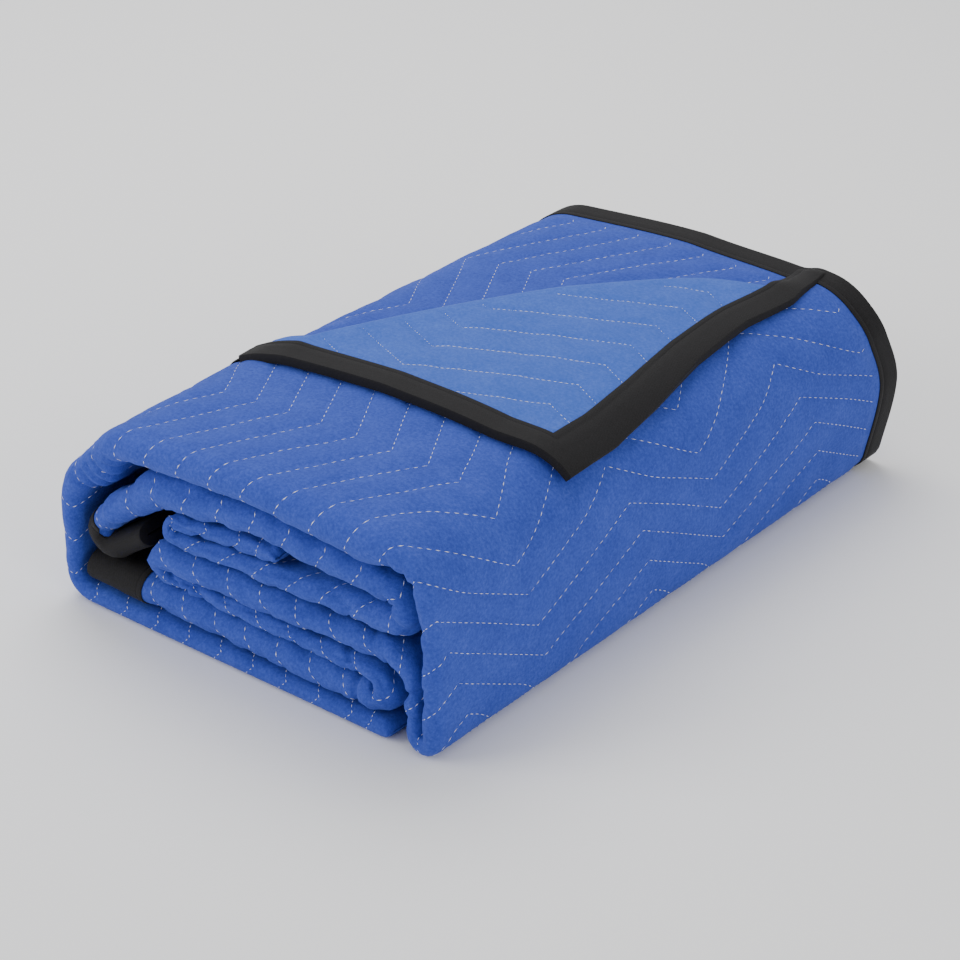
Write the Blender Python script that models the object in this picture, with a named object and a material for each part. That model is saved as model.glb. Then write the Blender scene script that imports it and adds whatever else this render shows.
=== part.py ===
"""A quilted moving blanket, folded small: four plies along its length, then back and forth across.

Two folded strips of double cloth are wound round each other and joined by the fold at the far
end. The quilting zigzags along the blanket, a black tape binds its edges, and one corner of
the top sheet is turned back. X runs across the folds, Y from the folded front to the bound far
end, and Z is up. The blanket rests on Z = 0.
"""

import math
from collections import namedtuple

import bmesh
import bpy
import numpy as np
from mathutils import Vector

MM = 0.001

# Driving dimensions, in millimetres.
SHEET = 6.0  # one quilted sheet
FRONT_Y = -262.0  # where the folded noses end
FAR_Y = 262.0  # where the bound edges end
CLEAR = 0.3  # between the tape and the cloth it is sewn to
TAPE = 0.8  # the tape's own thickness
TAPE_WIDTH = 25.0
SEAM_PITCH = 30.0  # between two quilting seams, across the blanket
ZIGZAG_RUN = 100.0  # along the blanket, from one turn of the zigzag to the next
ZIGZAG_SWING = 27.0  # how far each seam swings to either side
SEAM_DEPTH = 1.2  # how far a seam is sunk below the puffs beside it

BLUE = (0.045, 0.13, 0.55, 1.0)
BLACK = (0.012, 0.012, 0.014, 1.0)

# Each row is a corner of the strip's section, rounded to the radius "bend". "thick" is the
# double cloth there, "front" and "far" move that layer's two ends along Y, and "swing" is the
# share of the zigzag that the cloth's grid follows.
Fold = namedtuple("Fold", "name x z bend thick front far swing")

OUTER_STRIP = [
    Fold("bound lower end", -152.0, 27.6, 0.0, 26.0, 4.0, -4.0, 0),
    Fold("lobe, below", 122.0, 27.4, 10.2, 26.2, 0.0, -2.0, 0),
    Fold("lobe, above", 122.0, 47.8, 10.2, 13.4, 2.0, 0.0, 0),
    Fold("left nose, below", -82.5, 47.8, 9.5, 13.4, 3.0, -6.0, 0),
    Fold("left nose, above", -82.5, 66.8, 9.5, 24.0, -4.0, -4.0, 0),
    Fold("inner corner", 145.0, 66.8, 20.0, 20.0, 4.0, 0.0, 0),
    Fold("bottom edge, inside", 149.0, 8.3, 8.3, 15.2, 2.0, 4.0, 0),
    Fold("bottom edge, outside", 165.6, 8.3, 8.3, 15.2, 0.0, 6.0, 0),
    Fold("right side", 167.0, 80.0, 60.0, 16.0, -2.0, 14.0, 0.8),
    Fold("top right edge", 164.5, 157.6, 30.0, 18.0, -6.0, -3.0, 0.3),
    Fold("top, right", 112.0, 150.5, 90.0, 32.2, -8.0, -4.0, 0.8),
    Fold("top", 15.0, 154.0, 90.0, 25.2, -10.0, -6.0, 1),
    Fold("left shoulder", -110.0, 147.6, 41.0, 26.0, -10.0, -12.0, 0.3),
    Fold("left side", -163.0, 97.0, 41.0, 22.0, -4.0, -14.0, 0.5),
    Fold("bottom left edge", -169.0, 6.8, 17.0, 13.6, 0.0, -6.0, 0),
    Fold("hidden end", 130.0, 6.8, 0.0, 13.6, 2.0, -4.0, 0),
]
INNER_STRIP = [
    Fold("bound upper end", -97.3, 73.2, 0.0, 18.0, 4.0, -4.0, 0),
    Fold("curl, below", -141.0, 45.4, 10.0, 19.0, 2.0, -4.0, 0),
    Fold("curl, above", -141.0, 66.8, 10.0, 19.0, 0.0, -4.0, 0),
    Fold("nose", -119.4, 89.6, 17.0, 24.0, -6.0, -4.0, 0),
    Fold("slope", -77.0, 119.6, 30.0, 30.6, -6.0, -2.0, 0),
    Fold("middle", 20.0, 126.8, 90.0, 25.6, -4.0, 0.0, 0),
    Fold("loop, above", 140.0, 117.2, 12.8, 26.6, 0.0, 2.0, 0),
    Fold("loop, below", 140.0, 91.6, 12.8, 23.0, 2.0, 2.0, 0),
    Fold("rise", 90.0, 91.6, 60.0, 22.0, 2.0, 0.0, 0),
    Fold("dip", 40.0, 88.0, 60.0, 16.2, 2.0, -2.0, 0),
    Fold("tuck, below", -68.0, 85.8, 6.4, 12.6, -2.0, -4.0, 0),
    Fold("tuck, above", -68.0, 98.6, 6.4, 12.6, 0.0, -4.0, 0),
    Fold("hidden end", 30.0, 103.8, 0.0, 14.0, 4.0, -6.0, 0),
]

FINE_STEP = 6.0  # grid spacing round a tight bend
PUFF_STEP = 15.0  # grid spacing where the cloth shows: a seam, a puff, a seam
HIDDEN_STEP = 30.0  # grid spacing on a straight run inside the pile
TIGHT_BEND = 24.0
NOSE_LENGTH = 1.25  # of a folded nose, as a share of its half thickness
NOSE_TURNS = (45.0, 90.0, 135.0)
OUTER_ROWS = [50.0 * k for k in range(-4, 5)]  # the zigzag's turns and the middles between
INNER_ROWS = [-200.0, -100.0, 200.0]
SAG_FROM = -100.0  # the top sags from here towards the far end, so a row lies here
SQUEEZE = CLEAR + TAPE + 0.1  # how much the tape presses each face in
SQUEEZE_RUN = 5.0
TAPE_BEND = 12.5  # the tape stops at a bend tighter than this, where it is crushed
TAPE_START = 28.0  # along a strip, past the tape round its end
SHORTEST_RUN = 20.0
UNBOUND_SHORT = 14.0  # the folded sheet ends this much before the bound one
INSIDE_GAP = 0.4
REST_Z = 8.0  # a layer whose middle is no higher than this lies on the floor
REST_FADE = 12.0
MIDDLE = Vector((2.865, 2.54))  # the middle of the whole pile's plan, which becomes the origin
EDGE_DEPTH = 3.0  # how far down a bound edge the far tape reaches
FAR_FOLD_TURNS = (45.0, 90.0, 135.0)
FAR_FOLDS = {"upper": (-60.0, 118.0), "lower": (-55.0, 45.0)}  # the widths they take, in X

# The corner of the top sheet that is turned back, in plan.
CORNER_TIP = Vector((161.0, -117.0))
FRONT_LEG = Vector((-1.0, -0.05)).normalized()
SIDE_LEG = Vector((-0.096, 1.0)).normalized()
FRONT_REACH = 256.0  # along the front leg to the crease
SIDE_REACH = 320.0  # along the side leg to the crease
CREASE_BOW = 1.5
LEAST_REACH = 32.0  # the crease stays this far from the front leg, clear of its tape
STEP_DOWN = 5.0  # from the top sheet to the next one, where the corner is turned back
STEP_DOWN_INSIDE = 3.5
STEP_RUN = 24.0
CORNER_GAP = 1.8  # between the turned corner and the top under it
CORNER_LOFT = 3.0  # how much more it stands up near its crease
CORNER_REACH = 277.0  # where the turned corner's sheet ends, past the left edge
SINK_FROM = 232.0
EMBED = 3.0  # how deep the crease is set into the top, so that they are one cloth
CORNER_PLACES = [0.0, 6.0, 12.0, 18.0, 26.0, 36.0, 50.0, 70.0, 95.0, 120.0, 145.0, 170.0, 195.0, 215.0,
                 232.0, 244.0, 256.0, 267.0]
CORNER_SHARES = [0.0, 0.1, 0.2, 0.3, 0.4, 0.52, 0.64, 0.76, 0.88, 1.0]
TAIL_START_Y = -131.0  # where the turned corner's tape passes over the left edge
CORNER_CLEAR = 0.5
TAPE_PLACES = [TAPE_WIDTH, 18.0, 12.0, 6.0]  # across the tape, inwards from the edge
TAIL_LENGTH = 110.0  # how far down the left side the tape shows
TAIL_SLANT = 0.35  # how fast it then runs towards the far end on its way down


def zigzag(y):
    turns = y / ZIGZAG_RUN
    return ZIGZAG_SWING * (1 - 2 * abs(turns % 2 - 1))


def smooth(value):
    value = min(1.0, max(0.0, value))
    return value * value * (3 - 2 * value)


class Strip:
    """A folded strip of double cloth: its section's middle line, and its sizes along it."""

    def __init__(self, folds):
        self.folds = folds
        line, marks = self.rounded([Vector((f.x, f.z)) for f in folds])
        keep = [0] + [i for i in range(1, len(line)) if (line[i] - line[i - 1]).length > 1e-4]
        points = np.array([line[i] for i in keep])
        steps = np.linalg.norm(np.diff(points, axis=0), axis=1)
        self.along = np.concatenate([[0.0], np.cumsum(steps)])
        self.x, self.z = points[:, 0], points[:, 1]
        self.length = float(self.along[-1])
        self.marks = [float(self.along[np.searchsorted(keep, mark)]) for mark in marks]

    def rounded(self, corners):
        """The corners joined by straight runs and arcs, with the place of each corner's middle."""
        line, marks = [corners[0]], [0]
        for before, corner, after, fold in zip(corners, corners[1:], corners[2:], self.folds[1:]):
            arrive, leave = (corner - before).normalized(), (after - corner).normalized()
            turn = math.atan2(arrive.cross(leave), arrive.dot(leave))
            start = corner - arrive * fold.bend * math.tan(abs(turn) / 2)
            centre = start + arrive.orthogonal() * math.copysign(fold.bend, turn)
            steps = max(2, 2 * math.ceil(abs(turn) / math.radians(12)))
            arm = start - centre
            for k in range(steps + 1):
                angle = turn * k / steps
                turned = Vector((arm.x * math.cos(angle) - arm.y * math.sin(angle),
                                 arm.x * math.sin(angle) + arm.y * math.cos(angle)))
                line.append(centre + turned)
                if k == steps // 2:
                    marks.append(len(line) - 1)
        line.append(corners[-1])
        return line, marks + [len(line) - 1]

    def mark(self, name):
        """How far along the strip the middle of a fold lies."""
        return self.marks[[fold.name for fold in self.folds].index(name)]

    def at(self, s):
        return Vector((float(np.interp(s, self.along, self.x)), float(np.interp(s, self.along, self.z))))

    def heading(self, s):
        return (self.at(min(self.length, s + 1.0)) - self.at(max(0.0, s - 1.0))).normalized()

    def bend(self, s):
        """One over the bend's radius, above 0 where the strip turns left."""
        before, after = self.heading(s - 2.0), self.heading(s + 2.0)
        return math.atan2(before.cross(after), before.dot(after)) / 4.0

    def size(self, s, name):
        """A column of the fold table, eased from one fold to the next."""
        values = [getattr(fold, name) for fold in self.folds]
        k = min(len(values) - 2, max(0, int(np.searchsorted(self.marks, s)) - 1))
        share = (s - self.marks[k]) / (self.marks[k + 1] - self.marks[k])
        return values[k] + (values[k + 1] - values[k]) * smooth(share)

    def half(self, s, side):
        """Half the double cloth, no more than the room inside a tight bend."""
        half = self.size(s, "thick") / 2 - SQUEEZE * (1 - smooth((s - TAPE_START + 1) / SQUEEZE_RUN))
        bend = self.bend(s) * side
        return min(half, 1 / bend - INSIDE_GAP) if bend > 1e-3 else half

    def columns(self, seamed_from, seamed_to):
        """The places of the grid's columns: every puff where the cloth shows, fewer inside."""
        places = [0.0, TAPE_START - 1, TAPE_START - 1 + SQUEEZE_RUN]
        s = places[-1]
        while s < self.length - PUFF_STEP:
            tight = max(abs(self.bend(s + ahead)) for ahead in (0.0, 4.0, 8.0)) > 1 / TIGHT_BEND
            plain = not self.mark(seamed_from) < s < self.mark(seamed_to) + HIDDEN_STEP
            step = FINE_STEP if tight else HIDDEN_STEP if plain else PUFF_STEP
            if plain and not tight and abs(self.bend(s + 20.0)) > 1 / TIGHT_BEND:
                step = PUFF_STEP
            s = step * (math.floor(s / step + 0.01) + 1)
            places.append(s)
        return [place for place in places if place < self.length - 4] + [self.length]

    def sheared(self, s, y):
        """The same column, moved along the strip as the zigzag does."""
        return s + zigzag(y) * self.size(s, "swing")

    def sunk(self, s):
        """How far the quilting sinks a column that runs along a seam or beside it."""
        return SEAM_DEPTH * (1 - abs(math.sin(math.pi * s / SEAM_PITCH)))

    def place(self, s, y, offset, out=0.0):
        """A point off the middle line: left of its heading for a positive offset."""
        s = min(self.length, max(0.0, s))
        middle, heading = self.at(s), self.heading(s)
        point = middle + heading.orthogonal() * offset - heading * out
        return warp(Vector((point.x, y, point.y)))

    def ends(self, s):
        """Where this column's folded nose and its bound edge lie."""
        return FRONT_Y + self.size(s, "front"), FAR_Y + self.size(s, "far")

    def edge_offset(self, s, y, side, depth):
        """How far a sheet's face lies off the middle line, at a depth under its outside."""
        outside = depth < SHEET / 2
        offset = self.half(s, side) - depth
        if side < 0:
            offset -= (STEP_DOWN if outside else STEP_DOWN_INSIDE) * turned_back(self, s, y)
        if side < 0 and outside and y > self.ends(s)[1] - TAPE_START:
            offset -= SQUEEZE
        return max(INSIDE_GAP, offset)

    def straight(self, s, y, side, depth=0.0, out=0.0):
        """A point on a flat part of the double cloth, at a depth under its outside."""
        pressed = side < 0 and y > self.ends(s)[1] - TAPE_START
        at = self.sheared(s, y) if depth < SHEET / 2 and not pressed else s
        offset = self.edge_offset(at, y, side, depth)
        if depth == 0 and not pressed:
            rest = smooth((self.at(at).y - REST_Z) / REST_FADE) if side < 0 else 1.0
            offset -= self.sunk(s) * rest
        return self.place(at, y, side * offset, out)

    def nose(self, s, turn, depth=0.0, out=0.0):
        """A point round the folded nose, at a depth under its outside."""
        front = self.ends(s)[0]
        length = NOSE_LENGTH * self.size(s, "thick") / 2
        angle = math.radians(turn)
        side = -1 if turn <= 90 else 1
        y = front + length - (length - depth) * math.sin(angle)
        at = self.sheared(s, y) if depth < SHEET / 2 else s
        offset = max(INSIDE_GAP, self.half(at, side) - depth) * abs(math.cos(angle))
        return self.place(at, y, side * offset, out)

    def lane(self, s, rows, depth=0.0, out=0.0):
        """One column at one depth: along the bound sheet to the front, round the nose and
        back along the other sheet.
        """
        front, far = self.ends(s)
        flat = front + NOSE_LENGTH * self.size(s, "thick") / 2
        bound = [far, far - TAPE_START + 1, far - TAPE_START + 1 - SQUEEZE_RUN, *reversed(rows), flat]
        points = [self.straight(s, y, -1, depth, out) for y in bound]
        points += [self.nose(s, turn, depth, out) for turn in NOSE_TURNS]
        points += [self.straight(s, y, 1, depth, out) for y in (flat, *rows, far - UNBOUND_SHORT)]
        return points


def in_plan(x, y):
    """A point of the plan as distances from the turned corner's tip along its two legs."""
    arm = Vector((x, y)) - CORNER_TIP
    across = FRONT_LEG.cross(SIDE_LEG)
    return arm.cross(SIDE_LEG) / across, FRONT_LEG.cross(arm) / across


def crease(a):
    """How far along the side leg the crease lies, at a distance along the front leg."""
    reach = SIDE_REACH * (1 - min(1.0, max(0.0, a) / FRONT_REACH) ** CREASE_BOW)
    return max(LEAST_REACH, reach)


def tail_line(s):
    """Where the front edge of the turned corner's tape lies as it runs down the left side."""
    return TAIL_START_Y + TAIL_SLANT * max(0.0, s - shoulder)


def turned_back(strip, s, y):
    """From 0 to 1: whether the top sheet is turned back off this place."""
    if strip is not outer or not top_right < s < strip.marks[-2] + 20:
        return 0.0
    middle = strip.at(s)
    if s > shoulder:
        return smooth((y - tail_line(s) - LEAST_REACH) / STEP_RUN)
    a, b = in_plan(middle.x, y)
    return smooth((b - crease(a)) / STEP_RUN) * smooth(a / STEP_RUN)


def warp(point):
    """The unevenness of the whole pile, in metres: its right edge sags and its side bulges."""
    x, y, z = point
    back = (y + 270.0) / 540.0
    far_sag = 0.085 * max(0.0, (y - SAG_FROM) / 370.0)
    sag = far_sag + (0.075 * back - far_sag) * smooth((x - 40.0) / 120.0)
    height = min(1.0, max(0.0, z / 150.0))
    bulge = 7.0 * smooth((x - 60.0) / 110.0) * math.sin(math.pi * height) * back
    crown = 0.02 * math.cos(x / 70.0) * smooth((z - 60.0) / 80.0)
    return Vector((x + bulge - MIDDLE.x, y - MIDDLE.y, z * (1 - sag + crown))) * MM


outer = Strip(OUTER_STRIP)
inner = Strip(INNER_STRIP)
top_right = outer.mark("top right edge")
shoulder = outer.mark("left shoulder")
TOP_TABLE = np.array([(s, outer.at(s).x * -1 + outer.heading(s).orthogonal().x * outer.half(s, -1))
                      for s in np.arange(top_right - 30.0, shoulder + 60.0, 1.0)])


def material(name, colour, roughness):
    result = bpy.data.materials.new(name)
    result.use_nodes = True
    shader = result.node_tree.nodes["Principled BSDF"]
    shader.inputs["Base Color"].default_value = colour
    shader.inputs["Roughness"].default_value = roughness
    return result


def add_object(name, mesh_data, look):
    """A new object of the given bmesh, with its faces turned outwards."""
    bmesh.ops.recalc_face_normals(mesh_data, faces=mesh_data.faces)
    mesh = bpy.data.meshes.new(name)
    mesh_data.to_mesh(mesh)
    mesh_data.free()
    mesh.materials.append(look)
    obj = bpy.data.objects.new(name, mesh)
    bpy.context.scene.collection.objects.link(obj)
    return obj


def skin(mesh_data, rings, closed, skip=None):
    """Faces from each ring of points to the next; skip(k, j) leaves a face out."""
    verts = [[mesh_data.verts.new(point) for point in ring] for ring in rings]
    count = len(rings[0])
    for k in range(len(rings) - 1):
        for j in range(count if closed else count - 1):
            if skip is None or not skip(k, j):
                n = (j + 1) % count
                mesh_data.faces.new((verts[k][j], verts[k + 1][j], verts[k + 1][n], verts[k][n]))
    return verts


def strip_rings(strip, places, rows):
    """The grid of a strip's double cloth, and which of a ring's points is the unbound edge."""
    rings = []
    for s in places:
        outside = strip.lane(s, rows)
        inside = strip.lane(s, rows, SHEET)
        kept, row = 3 + len(rows), rows.index(SAG_FROM)  # inside the slit one row is enough
        slit = [inside[0], inside[kept - 1 - row], *inside[kept:kept + 5], inside[kept + 5 + row],
                inside[-1]]
        rings.append(outside + slit[::-1])
        edge = len(outside) - 1
    return rings, edge


def facing(strip, places, first, last, span_x):
    """Which columns between two folds of a strip lie within a width, as indices."""
    return [k for k, s in enumerate(places)
            if strip.mark(first) < s < strip.mark(last) and span_x[0] < strip.at(s).x < span_x[1]]


def far_fold(mesh_data, one, other, one_edge, other_edge):
    """The fold at the far end that joins two strips: a half turn between facing sheets."""
    profiles = []
    for ring, facing_ring in zip(one, other):
        near, inside = ring[one_edge], ring[one_edge + 1]
        facing_near, facing_inside = facing_ring[other_edge], facing_ring[other_edge + 1]
        middle = (inside.co + facing_inside.co) / 2
        radius = (inside.co - facing_inside.co) / 2
        reach = Vector((0.0, radius.length, 0.0))
        turned = [mesh_data.verts.new(middle + radius * math.cos(math.radians(turn))
                                      + reach * math.sin(math.radians(turn)))
                  for turn in FAR_FOLD_TURNS]
        profiles.append([near, inside, *turned, facing_inside, facing_near])
    for before, after in zip(profiles, profiles[1:]):
        for j in (*range(1, len(before) - 2), len(before) - 1):
            n = (j + 1) % len(before)
            mesh_data.faces.new((before[j], after[j], after[n], before[n]))
    for near, inside, first, second, third, facing_inside, facing_near in (profiles[0], profiles[-1]):
        for fan in ((near, inside, first), (near, first, second), (near, second, facing_near),
                    (facing_near, second, third), (facing_near, third, facing_inside)):
            mesh_data.faces.new(fan)


def top_surface(x, y, height):
    """The point above the top's outside at a place of the plan, measured square to it."""
    s = float(np.interp(-x, TOP_TABLE[:, 1], TOP_TABLE[:, 0]))
    return outer.place(s, y, -(outer.edge_offset(s, y, -1, 0.0) + height))


def corner_point(a, b, height):
    """A point over the top, from the turned corner's tip along its two legs."""
    plan = CORNER_TIP + FRONT_LEG * a + SIDE_LEG * b
    return top_surface(plan.x, plan.y, height)


def corner_heights(a, share):
    """The underside and the upper face of the turned corner above the top."""
    sink = smooth((a - SINK_FROM) / (CORNER_REACH - SINK_FROM))
    under = CORNER_GAP + CORNER_LOFT * smooth(share) * (1 - sink)
    return under - (CORNER_GAP + EMBED) * sink, under + SHEET - (SHEET - 1) * sink


def build_corner(blue):
    """The turned-back corner: a sheet over the top that ends in a fold along the crease."""
    mesh_data = bmesh.new()
    rings = []
    for a in CORNER_PLACES:
        reach = crease(a)
        stations = [share * (reach - 12.0) for share in CORNER_SHARES]
        lower = [corner_point(a, b, corner_heights(a, b / reach)[0]) for b in stations]
        upper = [corner_point(a, b, corner_heights(a, b / reach)[1]) for b in stations]
        under, over = corner_heights(a, 1.0)
        turn = [corner_point(a, reach - 6.0, -EMBED), corner_point(a, reach + 5.0, -EMBED),
                corner_point(a, reach + 8.0, (over - EMBED) / 2), corner_point(a, reach + 3.0, over - 1.0)]
        rings.append(lower + turn + upper[::-1])
    verts = skin(mesh_data, rings, True)
    count = len(CORNER_SHARES)
    for ring in (verts[0], verts[-1]):
        for j in range(count - 1):
            mesh_data.faces.new((ring[j], ring[j + 1], ring[-2 - j], ring[-1 - j]))
        mesh_data.faces.new(ring[count - 1:-count + 1])
    return add_object("turned_corner_helper", mesh_data, blue)


def build_cloth(blue):
    mesh_data = bmesh.new()
    outer_places = outer.columns("bottom edge, outside", "bottom left edge")
    inner_places = inner.columns("curl, below", "loop, above")
    outer_rings, outer_edge = strip_rings(outer, outer_places, OUTER_ROWS)
    inner_rings, inner_edge = strip_rings(inner, inner_places, INNER_ROWS)
    upper = (facing(outer, outer_places, "top right edge", "left shoulder", FAR_FOLDS["upper"])[::-1],
             facing(inner, inner_places, "slope", "loop, above", FAR_FOLDS["upper"]))
    lower = (facing(outer, outer_places, "left nose, above", "inner corner", FAR_FOLDS["lower"]),
             facing(inner, inner_places, "dip", "tuck, below", FAR_FOLDS["lower"])[::-1])
    skipped = []
    for strip_side in (0, 1):
        skipped.append(set())
        for pair in (upper, lower):
            count = min(len(pair[0]), len(pair[1]))
            used = sorted(pair[strip_side][:count])
            skipped[strip_side] |= set(used[:-1])
    outer_verts = skin(mesh_data, outer_rings, True, lambda k, j: j == outer_edge and k in skipped[0])
    inner_verts = skin(mesh_data, inner_rings, True, lambda k, j: j == inner_edge and k in skipped[1])
    for verts in (outer_verts, inner_verts):
        mesh_data.faces.new(verts[0])
        mesh_data.faces.new(verts[-1])
    for pair in (upper, lower):
        far_fold(mesh_data, [outer_verts[k] for k in pair[0]], [inner_verts[k] for k in pair[1]],
                 outer_edge, inner_edge)
    cloth = add_object("quilted_cloth", mesh_data, blue)
    corner = build_corner(blue)
    corner.hide_render = True
    corner.display_type = "WIRE"
    join = cloth.modifiers.new("turned corner", "BOOLEAN")
    join.operation = "UNION"
    join.solver = "EXACT"
    join.object = corner
    return cloth


def sweep(name, sections, look):
    """A tape: the same section at every station, closed at both ends."""
    mesh_data = bmesh.new()
    verts = skin(mesh_data, sections, True)
    half = len(verts[0]) // 2
    for ring in (verts[0], verts[-1]):
        for j in range(half - 1):
            mesh_data.faces.new((ring[j], ring[j + 1], ring[-2 - j], ring[-1 - j]))
    return add_object(name, mesh_data, look)


def end_binding(name, strip, rows, look):
    """The tape folded over a strip's bound end, along one sheet, round the nose and back."""
    over, under = CLEAR + TAPE, CLEAR
    lanes = [strip.lane(TAPE_WIDTH, rows, -over), strip.lane(0.0, rows, -over, over),
             strip.lane(0.0, rows, SHEET + over, over), strip.lane(TAPE_WIDTH, rows, SHEET + over),
             strip.lane(TAPE_WIDTH, rows, SHEET + under), strip.lane(0.0, rows, SHEET + under, under),
             strip.lane(0.0, rows, -under, under), strip.lane(TAPE_WIDTH, rows, -under)]
    return sweep(name, [list(section) for section in zip(*lanes)], look)


def far_binding(name, strip, places, look):
    """The tape along the far end of a strip's bound sheet, over its face and its edge."""
    sections = []
    for s in places:
        far = strip.ends(s)[1]
        sections.append([strip.straight(s, y, -1, depth) for y, depth in (
            (far - TAPE_WIDTH, -CLEAR - TAPE), (far + CLEAR + TAPE, -CLEAR - TAPE),
            (far + CLEAR + TAPE, EDGE_DEPTH), (far + CLEAR, EDGE_DEPTH),
            (far + CLEAR, -CLEAR), (far - TAPE_WIDTH, -CLEAR))])
    return sweep(name, sections, look)


def far_runs(strip, places):
    """The columns the far tape follows, in runs that stop at each bend too tight for it. A short
    run between two bends is left out, as it is crushed there.
    """
    runs = [[TAPE_START]]
    for s in places:
        if -strip.bend(s) > 1 / TAPE_BEND:
            runs.append([])
        elif s > TAPE_START:
            runs[-1].append(s)
    return [run for run in runs if len(run) > 1 and run[-1] - run[0] > SHORTEST_RUN]


def corner_binding(name, places, point, look):
    """The tape along one leg of the turned corner: over its face, then down over its edge.
    point(along, inwards) gives a place on the turned sheet.
    """
    over, near = CORNER_CLEAR + TAPE, CORNER_CLEAR
    face = [(inwards, over) for inwards in TAPE_PLACES] + [(-over, over)]
    under = [(-near, near)] + [(inwards, near) for inwards in reversed(TAPE_PLACES)]
    sections = []
    for along in places:
        section = []
        for inwards, above in (*face, (-over, None), (-near, None), *under):
            a, b = point(along, inwards)
            lower, upper = corner_heights(a, max(0.0, b) / crease(a))
            height = max(CLEAR, lower) if above is None else max(CLEAR, upper) + above
            section.append(corner_point(a, b, height))
        sections.append(section)
    return sweep(name, sections, look)


def tail_binding(name, places, look):
    """The rest of the turned corner's tape, over the left edge and down the left side."""
    sections = []
    for s in places:
        start = tail_line(s)
        sections.append([outer.place(s, y, -(outer.half(s, -1) + height)) for y, height in (
            (start, CORNER_CLEAR + TAPE), (start + TAPE_WIDTH, CORNER_CLEAR + TAPE),
            (start + TAPE_WIDTH, CORNER_CLEAR), (start, CORNER_CLEAR))])
    return sweep(name, sections, look)


def build_bindings(black):
    end_binding("binding_lower_end", outer, OUTER_ROWS, black)
    end_binding("binding_upper_end", inner, INNER_ROWS, black)
    outer_places = outer.columns("bottom edge, outside", "bottom left edge")
    inner_places = inner.columns("curl, below", "loop, above")
    for level, strip, places in (("outer", outer, outer_places), ("inner", inner, inner_places)):
        for number, run in enumerate(far_runs(strip, places), 1):
            far_binding(f"binding_far_{level}_{number}", strip, run, black)
    front_places = [-CORNER_CLEAR - TAPE] + CORNER_PLACES
    corner_binding("binding_corner_front", front_places, lambda along, inwards: (along, inwards), black)
    side_places = [share * (crease(0.0) - 12.0) for share in CORNER_SHARES[1:]]
    corner_binding("binding_corner_side", side_places, lambda along, inwards: (inwards, along), black)
    tail_start = float(np.interp(CORNER_PLACES[-1] + 3.0 - CORNER_TIP.x, TOP_TABLE[:, 1], TOP_TABLE[:, 0]))
    tail_places = np.arange(tail_start, shoulder + TAIL_LENGTH, PUFF_STEP / 2)
    tail_binding("binding_corner_tail", tail_places, black)


def main():
    for obj in list(bpy.data.objects):
        bpy.data.objects.remove(obj)
    blue = material("quilted_polyester", BLUE, 0.85)
    black = material("binding_tape", BLACK, 0.9)
    build_cloth(blue)
    build_bindings(black)


main()
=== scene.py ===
"""A quilted moving blanket, folded small, with one corner of its top sheet turned back.

X runs across the folds, Y from the folded front to the bound far end, and Z is up. Lengths are
millimetres until the function settled turns points into metres; the studio is in metres.
"""

import math
from collections import namedtuple
from functools import partial

import bpy
import numpy as np
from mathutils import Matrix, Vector


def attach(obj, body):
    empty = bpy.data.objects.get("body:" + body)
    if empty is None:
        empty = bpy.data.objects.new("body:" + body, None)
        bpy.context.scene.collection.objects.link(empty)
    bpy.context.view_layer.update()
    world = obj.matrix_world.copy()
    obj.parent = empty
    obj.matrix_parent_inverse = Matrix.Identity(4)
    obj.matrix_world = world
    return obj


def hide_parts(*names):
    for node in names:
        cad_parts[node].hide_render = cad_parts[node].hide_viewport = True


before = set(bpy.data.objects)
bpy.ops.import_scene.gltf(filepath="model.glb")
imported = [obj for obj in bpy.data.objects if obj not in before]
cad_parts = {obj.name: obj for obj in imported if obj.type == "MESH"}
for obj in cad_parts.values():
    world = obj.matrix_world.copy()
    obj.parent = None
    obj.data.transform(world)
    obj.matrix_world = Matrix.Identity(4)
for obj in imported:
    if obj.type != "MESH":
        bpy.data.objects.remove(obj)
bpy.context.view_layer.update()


# ----------------------------------------------------------------------
# The quilted cloth, folded. A moving blanket is one wide panel: two brushed non-woven faces with
# cotton filling between them. It is folded in four along its length, so a strip of double cloth
# winds back and forth across the pile, and the fold noses of that strip show at the front.

MM = 0.001
SHEET = 6.0  # one quilted sheet
FRONT_Y, FAR_Y = -262.0, 262.0
NOSE_LENGTH = 1.25  # of a folded nose, as a share of its half thickness
INSIDE_GAP = 0.4  # the least from a sheet's inner face to the middle of its strip
TAPE, TAPE_CLEAR, FACE_WIDTH = 0.8, 0.3, 22.0  # the binding: thick, off the cloth, and wide
PRESSED = TAPE + TAPE_CLEAR + 0.1  # how far the sewn tape presses each face in
PRESSED_SPAN = (27.0, 5.0)  # where the pressed cloth ends, from a bound end
UNBOUND_SHORT = 14.0  # how far the second sheet stops short of the bound edge
LOOSE_END, LOOSE_EDGE = 8.0, 0.13  # how far a strip's loose end rounds off, and its last share
BUNCHED, BUNCHED_REACH = 8.0, 24.0  # the second sheet bunches inwards at the left shoulder
MIDDLE_X, MIDDLE_Y = 2.865, 2.54  # put at the frame's own middle

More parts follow.
